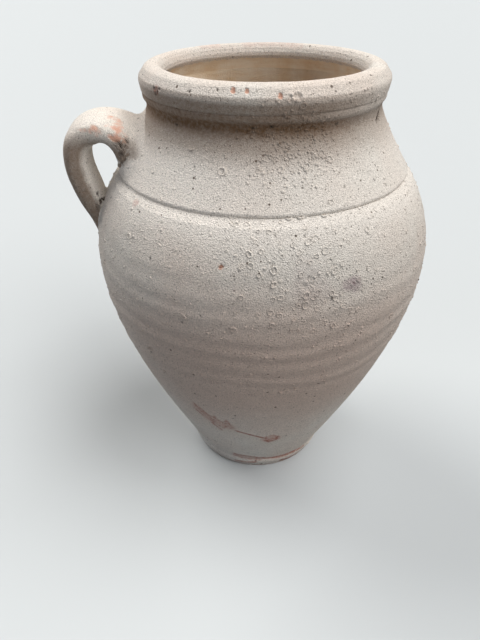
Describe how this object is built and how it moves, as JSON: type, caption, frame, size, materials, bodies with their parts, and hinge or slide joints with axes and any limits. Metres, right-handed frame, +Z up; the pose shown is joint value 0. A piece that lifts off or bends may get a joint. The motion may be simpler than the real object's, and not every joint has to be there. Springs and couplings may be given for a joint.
{
  "type": "terracotta jar",
  "caption": "Limewashed terracotta storage jar with a tapered body, grooved shoulder, rolled rim and a luted strap handle; stands on its foot and holds plants or dry goods.",
  "frame": {"origin": "on the jar's axis, in the plane that the foot stands on", "axes": "+Z up along the jar's axis, -X towards the handle"},
  "size_m": [0.333, 0.3158, 0.42],
  "materials": {
    "limewashed_clay": "matt limewash over fired terracotta",
    "bare_clay": "bare fired terracotta"
  },
  "bodies": {
    "root": {"base_slab": "bare_clay", "foot_ring": "limewashed_clay", "lower_body": "limewashed_clay", "belly": "limewashed_clay", "shoulder": "limewashed_clay", "neck_collar": "limewashed_clay", "rim_roll": "limewashed_clay", "handle_strap": "limewashed_clay", "upper_luting": "limewashed_clay", "lower_luting": "limewashed_clay"}
  },
  "joints": []
}
